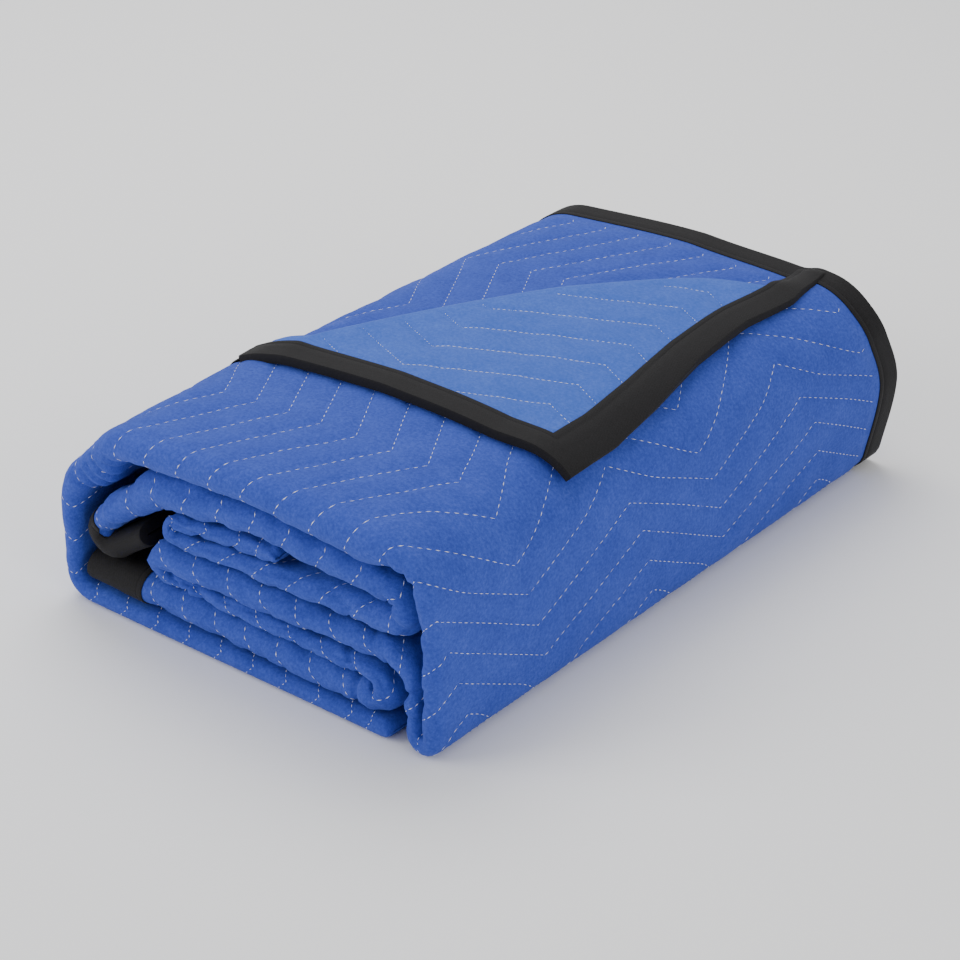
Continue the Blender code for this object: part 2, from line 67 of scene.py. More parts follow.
Fold = namedtuple("Fold", "name x z bend thick front far")
OUTER_FOLDS = [
    Fold("bound lower end", -152, 27.6, 0, 26, 4, -4),
    Fold("lobe, below", 122, 27.4, 10.2, 26.2, 0, -2),
    Fold("lobe, above", 122, 47.8, 10.2, 13.4, 2, 0),
    Fold("left nose, below", -82.5, 47.8, 9.5, 13.4, 3, -6),
    Fold("left nose, above", -82.5, 66.8, 9.5, 24, -4, -4),
    Fold("inner corner", 145, 66.8, 20, 20, 4, 0),
    Fold("bottom edge, inside", 149, 8.3, 8.3, 15.2, 2, 4),
    Fold("bottom edge, outside", 165.6, 8.3, 8.3, 15.2, 0, 6),
    Fold("right side", 167, 80, 60, 16, -2, 14),
    Fold("top right edge", 164.5, 157.6, 30, 18, -6, -3),
    Fold("top, right", 112, 150.5, 90, 32.2, -8, -4),
    Fold("top", 15, 154, 90, 25.2, -10, -6),
    Fold("left shoulder", -110, 147.6, 41, 26, -10, -12),
    Fold("left side", -163, 97, 41, 22, -4, -14),
    Fold("bottom left edge", -169, 6.8, 17, 13.6, 0, -6),
    Fold("hidden end", 130, 6.8, 0, 13.6, 2, -4),
]
INNER_FOLDS = [
    Fold("bound upper end", -97.3, 73.2, 0, 18, 4, -4),
    Fold("curl, below", -141, 45.4, 10, 19, 2, -4),
    Fold("curl, above", -141, 66.8, 10, 19, 0, -4),
    Fold("nose", -119.4, 89.6, 17, 24, -6, -4),
    Fold("slope", -77, 119.6, 30, 30.6, -6, -2),
    Fold("middle", 20, 126.8, 90, 25.6, -4, 0),
    Fold("loop, above", 140, 117.2, 12.8, 26.6, 0, 2),
    Fold("loop, below", 140, 91.6, 12.8, 23, 2, 2),
    Fold("rise", 90, 91.6, 60, 22, 2, 0),
    Fold("dip", 40, 88, 60, 16.2, 2, -2),
    Fold("tuck, below", -68, 85.8, 6.4, 12.6, -2, -4),
    Fold("tuck, above", -68, 98.6, 6.4, 12.6, 0, -4),
    Fold("hidden end", 30, 103.8, 0, 14, 4, -6),
]
SAMPLES = 2  # of a strip's section, to a millimetre
ARC_STEP = math.radians(6)
LINE_EASE, HEADING_EASE, HALF_EASE = 2.0, 3.0, 1.5
STRAIGHT = 1e-3  # a bend that turns slower than this counts as straight

# Runs of the cloth: they fall from the far bound edge along the first sheet, round the front
# nose, and back along the second sheet.
TAPED_FROM = 228.0
FLAT_FROM = -248.0
NOSE_TO = -283.0
SECOND_END = -779.0

# How the pile settles: its far end and its right edge sag by a share of the height, its right
# side bulges, and its middle stands a little higher. A span is a start and a length.
PILE_FRONT, PILE_LENGTH = -270.0, 540.0
FAR_SAG, FAR_SAG_FROM, FAR_SAG_LENGTH = 0.085, -100.0, 370.0
EDGE_SAG, EDGE_SAG_SPAN = 0.075, (40.0, 120.0)
BULGE, BULGE_SPAN, BULGE_HEIGHT = 7.0, (60.0, 110.0), 150.0
CROWN, CROWN_SPAN, CROWN_WAVE = 0.02, (60.0, 80.0), 70.0


def smooth(value):
    """From 0 to 1 with soft ends."""
    value = np.clip(value, 0.0, 1.0)
    return value * value * (3 - 2 * value)


def rise(value, start, length):
    """From 0 at a span's start to 1 at its end, with soft ends."""
    return smooth((value - start) / length)


def uneven(x, y):
    """Soft unevenness between about -1 and 1, with waves about 6 units long."""
    x, y = x + 1.7 * np.sin(0.43 * y + 0.6), y + 1.7 * np.sin(0.37 * x + 2.1)
    waves = np.sin(x + 0.4) * np.cos(1.13 * y) + 0.6 * np.sin(1.9 * x - 1.3 * y + 1.1)
    return (waves + 0.4 * np.sin(2.6 * y + 3.1 * x)) / 1.7


def settled(x, y, z):
    """Points of the pile in metres, after it has sagged and bulged."""
    x, y, z = np.broadcast_arrays(x, y, z)
    back = (y - PILE_FRONT) / PILE_LENGTH
    far_sag = FAR_SAG * np.maximum(0.0, (y - FAR_SAG_FROM) / FAR_SAG_LENGTH)
    sag = far_sag + (EDGE_SAG * back - far_sag) * rise(x, *EDGE_SAG_SPAN)
    height = np.clip(z / BULGE_HEIGHT, 0.0, 1.0)
    bulge = BULGE * rise(x, *BULGE_SPAN) * np.sin(math.pi * height) * back
    crown = CROWN * np.cos(x / CROWN_WAVE) * rise(z, *CROWN_SPAN)
    z = np.maximum(0.0, z * (1 - sag + crown))
    return np.stack([x + bulge - MIDDLE_X, y - MIDDLE_Y, z], axis=-1) * MM


def radius(turned):
    """A bend's radius, from how fast it turns."""
    return 1 / np.maximum(STRAIGHT, turned)


class Strip:
    """A folded strip of double cloth: its section's middle line, and its sizes along it."""

    def __init__(self, folds):
        line, marks = [Vector((folds[0].x, folds[0].z))], [0]
        for before, fold, after in zip(folds, folds[1:], folds[2:]):
            corner = Vector((fold.x, fold.z))
            arrive = (corner - Vector((before.x, before.z))).normalized()
            leave = (Vector((after.x, after.z)) - corner).normalized()
            turn = math.atan2(arrive.cross(leave), arrive.dot(leave))
            start = corner - arrive * fold.bend * math.tan(abs(turn) / 2)
            centre = start + arrive.orthogonal() * math.copysign(fold.bend, turn)
            arm = start - centre
            steps = max(2, 2 * math.ceil(abs(turn) / ARC_STEP))
            for k in range(steps + 1):
                cos, sin = math.cos(turn * k / steps), math.sin(turn * k / steps)
                line.append(centre + Vector((arm.x * cos - arm.y * sin, arm.x * sin + arm.y * cos)))
            marks.append(len(line) - 1 - steps // 2)
        line.append(Vector((folds[-1].x, folds[-1].z)))
        marks.append(len(line) - 1)
        corners = np.array(line)
        lengths = np.linalg.norm(np.diff(corners, axis=0), axis=1)
        along = np.concatenate([[0.0], np.cumsum(lengths)])
        table = Fold(*zip(*folds))
        self.names = table.name
        self.marks = along[marks]
        self.length = float(along[-1])
        self.s = np.linspace(0.0, self.length, int(self.length * SAMPLES))
        self.x = self.eased(np.interp(self.s, along, corners[:, 0]), LINE_EASE)
        self.z = self.eased(np.interp(self.s, along, corners[:, 1]), LINE_EASE)
        heading = np.unwrap(np.arctan2(np.gradient(self.z), np.gradient(self.x)))
        heading = self.eased(heading, HEADING_EASE)
        self.turned = self.eased(np.gradient(heading, self.s), HEADING_EASE)
        self.hx, self.hz = np.cos(heading), np.sin(heading)
        self.thick = self.column(table.thick)
        self.front = self.column(table.front)
        self.far = self.column(table.far)
        self.halves = {side: self.half(side) for side in (-1, 1)}
        if "left shoulder" in self.names:
            middle = (self.mark("left shoulder") + self.mark("left side")) / 2
            bunched = BUNCHED * np.exp(-((self.s - middle) / BUNCHED_REACH) ** 2)
            self.halves[1] = self.halves[1] + bunched

    def half(self, side):
        """The half thickness on one side of the middle line: less under a tape, inside a tight
        bend and at a loose end."""
        pressed = PRESSED * (1 - rise(self.s, *PRESSED_SPAN))
        room = radius(self.turned * side) - INSIDE_GAP
        ending = np.clip((self.s - self.length + LOOSE_END) / LOOSE_END, 0.0, 1.0)
        rounded = np.maximum(LOOSE_EDGE, np.sqrt(1 - ending ** 2))
        return self.eased(np.minimum(self.thick / 2 - pressed, room), HALF_EASE) * rounded

    def eased(self, values, reach):
        """The values averaged over a short reach, with the two ends kept."""
        width = max(1, int(reach * SAMPLES))
        padded = np.concatenate([2 * values[0] - values[width:0:-1], values,
                                 2 * values[-1] - values[-2:-width - 2:-1]])
        kernel = np.ones(2 * width + 1) / (2 * width + 1)
        return np.convolve(padded, kernel, "valid")

    def column(self, values):
        """A column of the fold table, eased from one fold to the next."""
        values = np.array(values)
        k = np.clip(np.searchsorted(self.marks, self.s) - 1, 0, len(values) - 2)
        share = (self.s - self.marks[k]) / (self.marks[k + 1] - self.marks[k])
        return values[k] + (values[k + 1] - values[k]) * smooth(share)

    def of(self, values, s):
        """A size of the strip at places along it."""
        return np.interp(s, self.s, values)

    def mark(self, name):
        """Where a named fold lies along the strip."""
        return float(self.marks[self.names.index(name)])

    def at(self, s, y, offset, out=0.0):
        """Points off the middle line: left of its heading, and out past the bound end."""
        s = np.clip(s, 0.0, self.length)
        hx, hz = self.of(self.hx, s), self.of(self.hz, s)
        return settled(self.of(self.x, s) - hz * offset - hx * out, y,
                       self.of(self.z, s) + hx * offset - hz * out)


outer = Strip(OUTER_FOLDS)
inner = Strip(INNER_FOLDS)
top_right = outer.mark("top right edge")
shoulder = outer.mark("left shoulder")
bottom_left = outer.mark("bottom left edge")

# The top sheet's turned corner in plan: its tip, its two bound legs and the crease. The sheet
# below it lies a step lower, and the front leg's tape goes on down the left side as a tail.
CORNER_TIP = Vector((161.0, -117.0))
FRONT_LEG = Vector((-1.0, -0.05)).normalized()
SIDE_LEG = Vector((-0.096, 1.0)).normalized()
FRONT_REACH, SIDE_REACH, CREASE_BOW, LEAST_REACH = 256.0, 320.0, 1.5, 32.0
STEP_DOWN, STEP_DOWN_INSIDE, STEP_RUN, STEP_PAST = 5.0, 3.5, 24.0, 20.0
TAIL_START_Y, TAIL_SLANT, TAIL_LENGTH = -131.0, 0.35, 110.0


def in_plan(x, y):
    """Places of the plan as distances from the turned corner's tip along its two legs."""
    dx, dy = x - CORNER_TIP.x, y - CORNER_TIP.y
    across = FRONT_LEG.cross(SIDE_LEG)
    return ((dx * SIDE_LEG.y - dy * SIDE_LEG.x) / across,
            (FRONT_LEG.x * dy - FRONT_LEG.y * dx) / across)


def crease(a):
    """How far the crease lies from the front leg, at places along that leg."""
    share = np.clip(a / FRONT_REACH, 0.0, 1.0)
    return np.maximum(LEAST_REACH, SIDE_REACH * (1 - share ** CREASE_BOW))


def tail_line(s):
    """Where the front leg's bound edge crosses the strip on the left side."""
    return TAIL_START_Y + TAIL_SLANT * np.maximum(0.0, s - shoulder)


def turned_back(strip, s, y):
    """From 0 to 1: whether the top sheet is turned back off this place."""
    if strip is not outer:
        return 0.0 * s
    a, b = in_plan(strip.of(strip.x, s), y)
    on_top = rise(b, crease(a), STEP_RUN) * rise(a, 0.0, STEP_RUN)
    on_side = rise(y - tail_line(s), LEAST_REACH, STEP_RUN)
    on_sheet = (top_right < s) & (s < bottom_left + STEP_PAST)
    return np.where(s > shoulder, on_side, on_top) * on_sheet


# Creases and tucks, listed one by one. "s" is along the strip from its bound end, "run" is the
# cloth's own length, "turn" is the crease's direction from the fold's own (0 runs along the strip,
# 90 along the blanket), and a positive depth is a trough.
Tuck = namedtuple("Tuck", "s run turn length width depth")
left_nose, lobe = outer.mark("left nose, below"), outer.mark("lobe, below")
inner_corner = outer.mark("inner corner")
loop, inner_tuck = inner.mark("loop, above"), inner.mark("tuck, below")
TUCKS = {outer: [
    Tuck(shoulder + 6, -276, 62, 34, 2.6, 2.2),
    Tuck(shoulder + 16, -276, 72, 42, 2.8, 3.2),
    Tuck(shoulder + 27, -276, 84, 50, 3.0, 4.2),
    Tuck(shoulder + 38, -276, 94, 50, 3.0, 4.0),
    Tuck(shoulder + 49, -276, 104, 42, 3.0, 3.2),
    Tuck(shoulder + 60, -276, 112, 34, 2.8, 2.2),
    Tuck(top_right - 8, -273, 64, 30, 2.4, 2.2),
    Tuck(top_right + 4, -272, 72, 34, 2.6, 2.8),
    Tuck(top_right + 17, -272, 66, 30, 2.4, 2.2),
    Tuck(56, -264, 92, 70, 3.4, 3.4),
    Tuck(lobe - 20, -266, 84, 60, 3.2, 4.4),
    Tuck(lobe - 4, -262, 96, 40, 2.6, 2.2),
    Tuck(lobe + 38, -264, 62, 44, 3.0, 3.0),
    Tuck(left_nose - 14, -264, 58, 34, 2.6, 3.2),
    Tuck(left_nose - 24, -268, 96, 30, 2.4, 2.8),
    Tuck(left_nose - 36, -264, 70, 30, 2.8, 2.4),
    Tuck(inner_corner + 20, -262, 82, 50, 3.2, 2.8),
    Tuck(inner_corner + 36, -262, 98, 44, 2.8, 2.2),
    Tuck(inner_corner - 14, -258, 70, 36, 3.0, 2.0),
], inner: [
    Tuck(loop - 12, -264, 70, 34, 2.6, 2.6),
    Tuck(loop + 2, -264, 92, 40, 2.8, 3.2),
    Tuck(loop + 15, -262, 104, 34, 2.4, 2.4),
    Tuck(loop + 62, -264, 24, 50, 3.0, 2.0),
    Tuck(inner_tuck + 4, -262, 40, 40, 2.8, 3.0),
    Tuck(inner_tuck + 20, -266, 14, 60, 3.0, 2.6),
    Tuck(82, -262, 96, 40, 3.2, 2.4),
]}

# The quilting. Its seams zigzag along the blanket, each at its own place along the strip (its
# seam coordinate). The cloth puffs up between them and puckers beside them. At the noses the
# seams are shallower and the cloth is crushed here and there.
SEAM_PITCH, SEAM_DEPTH, SEAM_EASED, PUFF_POWER = 30.0, 1.3, 0.72, 2.6
ZIGZAG_RUN, ZIGZAG_SWING, ZIGZAG_START = 100.0, 27.0, 28.0
SWING_FROM, SWING_EASE, SWING_SPAN = 30.0, 60.0, (-60.0, 50.0)
SKEW, SKEWED = 0.33, 150.0
PUCKER, PUCKER_WIDTH, PUCKER_LENGTH, ROW_STARTS = 0.45, 3.5, 3.1, (7.7, 5.3)
CRUSH, CRUSH_ON_TOP, CRUSH_WIDTH = 2.0, 0.4, 0.3
TOP_SPAN = (-10.0, 20.0)

Waves = namedtuple("Waves", "height s run start")
SOFT_WAVES, FINE_WAVES = Waves(0.34, 13.0, 15.0, 0.0), Waves(0.16, 4.2, 3.6, 3.0)
NOSE_WAVES = Waves(0.5, 11.0, 9.0, 5.0)
CRUSH_WAVES = {outer: Waves(1.0, 15.0, 13.0, 5.0), inner: Waves(1.0, 15.0, 13.0, 0.0)}


def waved(waves, s, run):
    """Unevenness of a height and of lengths along the strip and along the cloth."""
    return waves.height * uneven(s / waves.s + waves.start, run / waves.run)


def zigzag(run):
    """From -1 to 1 and back, as the seams swing."""
    return 1 - 2 * np.abs((run / ZIGZAG_RUN) % 2 - 1)


def swing(strip, u):
    """How much of the zigzag the seams have: none at the two ends of a strip."""
    from_bound = rise(u, SWING_FROM, SWING_EASE)
    return ZIGZAG_SWING * from_bound * rise(strip.length - u, 0.0, SWING_EASE)


def phase(strip, u):
    """Where the zigzag's turns lie: on the right side they slant, as the cloth is skewed there."""
    return ZIGZAG_START + (SKEW * np.clip(top_right - u, 0.0, SKEWED) if strip is outer else 0.0)


def along_strip(strip, u, run):
    """Where a seam that starts at u lies along the strip, at each run of the cloth."""
    shown = rise(run - NOSE_TO, *SWING_SPAN)
    return np.clip(u + swing(strip, u) * zigzag(run - phase(strip, u)) * shown, 0.0, strip.length)


def relief(strip, u, run, s, nose):
    """How far the quilting and the tucks raise the face, at a seam coordinate and run."""
    across = np.abs((u / SEAM_PITCH + 0.5) % 1 - 0.5) * SEAM_PITCH
    row = np.round(u / SEAM_PITCH)
    depth = SEAM_DEPTH * (1 - SEAM_EASED * nose)
    raised = -depth * (1 - across / (SEAM_PITCH / 2)) ** PUFF_POWER
    puckers = 0.5 + 0.5 * uneven(run / PUCKER_LENGTH + ROW_STARTS[0] * row, row * ROW_STARTS[1])
    raised = raised - PUCKER * np.exp(-across / PUCKER_WIDTH) * puckers
    raised = raised + waved(SOFT_WAVES, s, run) + waved(FINE_WAVES, s, run)
    on_top = rise(s - top_right, *TOP_SPAN) if strip is outer else 0.0
    crush = CRUSH - (CRUSH - CRUSH_ON_TOP) * on_top
    crushed = crush * np.exp(-(waved(CRUSH_WAVES[strip], s, run) / CRUSH_WIDTH) ** 2)
    raised = raised + nose * (waved(NOSE_WAVES, s, run) - crushed)
    for tuck in TUCKS[strip]:
        cos, sin = math.cos(math.radians(tuck.turn)), math.sin(math.radians(tuck.turn))
        ds, dr = s - tuck.s, run - tuck.run
        lengthways = (ds * cos + dr * sin) / (tuck.length / 2)
        sideways = (dr * cos - ds * sin) / tuck.width
        raised = raised - tuck.depth * np.exp(-sideways ** 2 - lengthways ** 4)
    return raised


# A bound end's tape shows wider where it crosses the folded nose on a slant: by how much, and
# over which span beyond the middle of the cloth.
WIDER = {outer: [(31, 190, 60)], inner: [(12, 220, 28), (33, 254, 8)]}
WIDER_SPAN = (-150.0, 90.0)


def bound_width(strip, run):
    """How wide the tape on a bound end shows at each run."""
    extra = sum(more * rise(-run, *span) for more, *span in WIDER[strip])
    return FACE_WIDTH + extra * rise(run - NOSE_TO, *WIDER_SPAN)


# Where the face has no relief: beside the tapes, on the floor, and inside the pile. The noses'
# own relief starts a little before the fold.
TAPED_SPAN, BESIDE_SPAN, TAPE_BEND_CLEAR = (-33.0, 5.0), (2.0, 10.0), 0.15
FLOOR_SPAN, PLAIN_SPAN, FULL_SPAN = (8.0, 12.0), (40.0, 60.0), (-FLAT_FROM - 10.0, 22.0)


def round_nose(strip, s, run, depth):
    """Each run's place along the blanket, that of the bound edge, and its turn round the nose."""
    front, far = FRONT_Y + strip.of(strip.front, s), FAR_Y + strip.of(strip.far, s)
    length = NOSE_LENGTH * strip.of(strip.thick, s) / 2
    flat = front + length
    turn = np.clip((FLAT_FROM - run) / (FLAT_FROM - NOSE_TO), 0.0, 1.0) * math.pi
    to_tape = far - (FAR_Y - TAPED_FROM) - flat
    bound = flat + (run - FLAT_FROM) * to_tape / (TAPED_FROM - FLAT_FROM)
    bound = np.where(run > TAPED_FROM, far - (FAR_Y - run), bound)
    second = flat + (NOSE_TO - run) * (far - UNBOUND_SHORT - flat) / (NOSE_TO - SECOND_END)
    nose = flat - (length - depth) * np.sin(turn)
    y = np.where(run >= FLAT_FROM, bound, np.where(run > NOSE_TO, nose, second))
    return y, far, turn


def face(strip, u, run, depth=0.0, out=0.0, lift=0.0):
    """Points of the cloth's outside face, or at a depth under it, at a seam coordinate and run."""
    u, run = np.broadcast_arrays(np.asarray(u, float), np.asarray(run, float))
    outside = depth < SHEET / 2
    s = along_strip(strip, u, run) if depth == 0 else np.clip(u, 0.0, strip.length)
    y, far, turn = round_nose(strip, s, run, depth)
    first_sheet = turn <= math.pi / 2
    half = np.where(first_sheet, strip.of(strip.halves[-1], s), strip.of(strip.halves[1], s))
    step = (STEP_DOWN if outside else STEP_DOWN_INSIDE) * turned_back(strip, s, y)
    taped = np.where(first_sheet, rise(y - far, *TAPED_SPAN), 0.0)
    offset = half - depth - np.where(first_sheet, step, 0.0)
    if outside:
        offset = offset - PRESSED * taped
    offset = np.maximum(INSIDE_GAP, offset)
    if depth < 0:  # a tape stays short of the middle of a tight bend
        bend = np.where(first_sheet, -1, 1) * strip.of(strip.turned, s)
        offset = np.minimum(offset, radius(bend) - TAPE_BEND_CLEAR)
    raised = lift
    if depth == 0:
        off_floor = np.where(first_sheet, rise(strip.of(strip.z, s), *FLOOR_SPAN), 1.0)
        off_tape = rise(s - bound_width(strip, run), *BESIDE_SPAN) * (1 - taped)
        near = 1 - rise(NOSE_TO - run, *PLAIN_SPAN)
        nose = rise(-run, *FULL_SPAN)
        raised = lift + relief(strip, u, run, s, nose) * (off_floor * off_tape) * near
    y = np.where((run < FLAT_FROM) & (run > NOSE_TO), y - raised * np.sin(turn), y)
    return strip.at(s, y, -(offset + raised) * np.cos(turn), out)


# The grid's places along a strip, and its runs along the cloth.
BOUND_PLACES = [0, 3, 8, 14, 20, 26, 30]
LOOSE_PLACES = [8, 5.5, 3.3, 1.6, 0.5, 0]  # back from a strip's loose end
SHOWN_STEP, SHOWN_PAST, HIDDEN_STEP = 3.75, 30.0, 6.0
TUCK_STEP, TUCK_REACH = 2.5, 9.0
BOUND_RUNS = np.array([262, 261, 257, 251, 245, 239, 235, 231.5])
OUTER_RUNS = np.concatenate([BOUND_RUNS, np.arange(TAPED_FROM, FLAT_FROM - 1, -4.0)])
INNER_RUNS = np.concatenate([BOUND_RUNS, [228, 210, 170, 110, 50, -10, -70, -120, -160],
                             np.arange(-184.0, FLAT_FROM - 1, -4.0)])
NOSE_RUNS = np.linspace(FLAT_FROM, NOSE_TO, 15)[1:]
SECOND_RUNS = NOSE_TO - np.array([4, 8, 12, 17, 23, 30, 38, 48, 62, 85, 130, 200, 280, 360, 430,
                                  480, 496])
INSIDE_RUNS = np.concatenate([[FAR_Y, 245, 180, 60, -60, -170, -225, -248],
                              np.linspace(FLAT_FROM, NOSE_TO, 7)[1:],
                              NOSE_TO - np.array([25, 80, 190, 310, 430, 496])])


def columns(strip, shown_from, shown_to):
    """The places along a strip: eight to a puff between the two folds where the cloth shows,
    twelve at a tuck and five elsewhere."""
    places, u = BOUND_PLACES[:-1], BOUND_PLACES[-1]
    shown_from, shown_to = strip.mark(shown_from) - SHOWN_PAST, strip.mark(shown_to) + SHOWN_PAST
    tucked = [2 * tuck.s - float(along_strip(strip, tuck.s, tuck.run)) for tuck in TUCKS[strip]]
    while u < strip.length - LOOSE_END - 1:
        places.append(u)
        step = SHOWN_STEP if shown_from < u < shown_to else HIDDEN_STEP
        step = TUCK_STEP if min(abs(u - middle) for middle in tucked) < TUCK_REACH else step
        u = step * (math.floor(u / step + 0.01) + 1)  # the next whole step, past a rounding error
    return np.array(places + [strip.length - left for left in LOOSE_PLACES])


def rings(strip, places, bound_runs):
    """The strip's grid: each ring runs along both outside faces and back inside the fold. Then
    the cloth's own coordinates, and a ring's last place on the outside."""
    runs = np.concatenate([bound_runs, NOSE_RUNS, SECOND_RUNS])
    inside_runs = INSIDE_RUNS[::-1]
    ring = np.concatenate([face(strip, places[:, None], runs[None, :]),
                           face(strip, places[:, None], inside_runs[None, :], SHEET)], axis=1)
    every_run = np.concatenate([runs, inside_runs])
    inside = np.repeat([0.0, 1.0], [len(runs), len(inside_runs)])
    cloth = np.stack(np.broadcast_arrays(places[:, None], every_run, inside), axis=-1)
    return ring, cloth, len(runs) - 1


class Shell:
    """Points, faces and cloth coordinates gathered for one mesh."""

    def __init__(self):
        self.points, self.cloth, self.faces, self.count = [], [], [], 0
        self.look_starts = [0]

    def add(self, points, cloth):
        """Adds a grid of points and gives back their numbers."""
        points = np.asarray(points, float)
        self.points.append(points.reshape(-1, 3))
        self.cloth.append(np.asarray(cloth, float).reshape(-1, 3))
        self.count += points.size // 3
        return np.arange(self.count - points.size // 3, self.count).reshape(points.shape[:-1])

    def skin(self, index, left_open=None):
        """Quads between neighbouring closed rings of point numbers, apart from those left open."""
        following = np.roll(index, -1, axis=1)
        quads = np.stack([index[:-1], index[1:], following[1:], following[:-1]], axis=-1)
        kept = np.ones(quads.shape[:2], bool)
        if left_open is not None:
            kept[left_open] = False
        self.faces += quads[kept].tolist()

    def close_ends(self, index):
        """One face over the first ring and one over the last."""
        self.faces += index[[0, -1]].tolist()

    def change_look(self):
        """The faces that follow have the next material."""
        self.look_starts.append(len(self.faces))

    def made(self, name, looks, smooth_angle=None):
        """The mesh as an object, with its faces turned outwards."""
        mesh = bpy.data.meshes.new(name)
        mesh.from_pydata(np.concatenate(self.points).tolist(), [], self.faces)
        layer = mesh.attributes.new("cloth", "FLOAT_VECTOR", "POINT")
        layer.data.foreach_set("vector", np.concatenate(self.cloth).ravel())
        for look in looks:
            mesh.materials.append(look)
        numbers = np.searchsorted(self.look_starts, np.arange(len(self.faces)), side="right") - 1
        mesh.polygons.foreach_set("material_index", numbers.astype(np.int32))
        mesh.shade_smooth()
        obj = bpy.data.objects.new(name, mesh)
        bpy.context.scene.collection.objects.link(obj)
        bpy.ops.object.select_all(action="DESELECT")
        bpy.context.view_layer.objects.active = obj
        obj.select_set(True)
        bpy.ops.object.mode_set(mode="EDIT")
        bpy.ops.mesh.select_all(action="SELECT")
        bpy.ops.mesh.normals_make_consistent(inside=False)
        bpy.ops.object.mode_set(mode="OBJECT")
        if smooth_angle:
            bpy.ops.object.shade_smooth_by_angle(angle=math.radians(smooth_angle))
        obj.select_set(False)
        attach(obj, "root")
        return obj


def hexcolour(code):
    """An sRGB hex colour as linear values."""
    parts = [int(code[k:k + 2], 16) / 255 for k in (0, 2, 4)]
    return (*[v / 12.92 if v <= 0.04045 else ((v + 0.055) / 1.055) ** 2.4 for v in parts], 1.0)


def add_node(tree, kind, inputs=None, **settings):
    """A shader node. An input is a value or a socket to link."""
    node = tree.nodes.new("ShaderNode" + kind)
    for name, value in settings.items():
        setattr(node, name, value)
    for key, value in (inputs or {}).items():
        if isinstance(value, bpy.types.NodeSocket):
            tree.links.new(value, node.inputs[key])
        else:
            node.inputs[key].default_value = value
    return node


def noise(tree, where, scale, detail, roughness=0.5):
    return add_node(tree, "TexNoise", {"Vector": where, "Scale": scale, "Detail": detail,
                                       "Roughness": roughness}).outputs["Fac"]


def blended(tree, value, share, base):
    """A share of a value on top of a base."""
    inputs = {0: value, 1: share, 2: base}
    return add_node(tree, "Math", inputs, operation="MULTIPLY_ADD").outputs[0]


def new_look(name, inputs):
    """A material with these inputs set on its shader."""
    look = bpy.data.materials.new(name)
    look.use_nodes = True
    for key, value in inputs.items():
        look.node_tree.nodes["Principled BSDF"].inputs[key].default_value = value
    return look


def link(look, socket, key):
    look.node_tree.links.new(socket, look.node_tree.nodes["Principled BSDF"].inputs[key])


def colour(look, value, stops):
    """Colours a material by a value, through stops of a place and an sRGB hex colour."""
    ramp = add_node(look.node_tree, "ValToRGB", {"Fac": value})
    elements = ramp.color_ramp.elements
    for element, (place, code) in zip(elements, (stops[0], stops[-1])):
        element.position, element.color = place, hexcolour(code)
    for place, code in stops[1:-1]:
        elements.new(place).color = hexcolour(code)
    link(look, ramp.outputs["Color"], "Base Color")


def roughen(look, height, strength, distance):
    """A bump from a height, distance metres at most."""
    inputs = {"Height": height, "Strength": strength, "Distance": distance}
    bump = add_node(look.node_tree, "Bump", inputs)
    link(look, bump.outputs["Normal"], "Normal")


def brushed_cloth(name, dark, middle, pale):
    """Brushed non-woven polyester, stitched through its filling: a dull, slightly pilled nap that
    scatters light at its edges, in soft clouds of three near shades."""
    look = new_look(name, {
        "Roughness": 0.92, "Specular IOR Level": 0.18, "Sheen Weight": 0.14,
        "Sheen Roughness": 0.5, "Sheen Tint": hexcolour("9DB6F2")})
    tree = look.node_tree
    where = add_node(tree, "TexCoord").outputs["Object"]
    clouds = noise(tree, where, scale=38.0, detail=6.0, roughness=0.62)
    nap = noise(tree, where, scale=420.0, detail=4.0, roughness=0.7)
    pills = noise(tree, where, scale=1500.0, detail=3.0)
    shade = blended(tree, nap, 0.7, blended(tree, clouds, 0.3, 0.0))
    colour(look, shade, [(0.36, dark), (0.5, middle), (0.66, pale)])
    roughen(look, blended(tree, pills, 0.4, nap), strength=0.5, distance=0.0008)
    return look


# The panel's face is a strong blue, and its back a paler one.
blue_face = brushed_cloth("brushed_polyester_blue", "2E429E", "384EAD", "465BBB")
blue_back = brushed_cloth("brushed_polyester_pale_blue", "375AB3", "4162BD", "4E6FC7")

blanket = Shell()
outer_places = columns(outer, "bottom edge, outside", "bottom left edge")
inner_places = columns(inner, "bound upper end", "bound upper end")
outer_grid, outer_cloth, outer_edge = rings(outer, outer_places, OUTER_RUNS)
inner_grid, inner_cloth, inner_edge = rings(inner, inner_places, INNER_RUNS)
outer_index = blanket.add(outer_grid, outer_cloth)
inner_index = blanket.add(inner_grid, inner_cloth)

FAR_TURNS = np.radians(np.linspace(0, 180, 11)[1:-1])[:, None]


def between(strip, places, folds, left, right):
    """The strip's columns between two folds and within a width, from left to right."""
    x = strip.of(strip.x, places)
    on_strip = (strip.mark(folds[0]) < places) & (places < strip.mark(folds[1]))
    found = np.nonzero(on_strip & (left < x) & (x < right))[0]
    return found[np.argsort(x[found])]


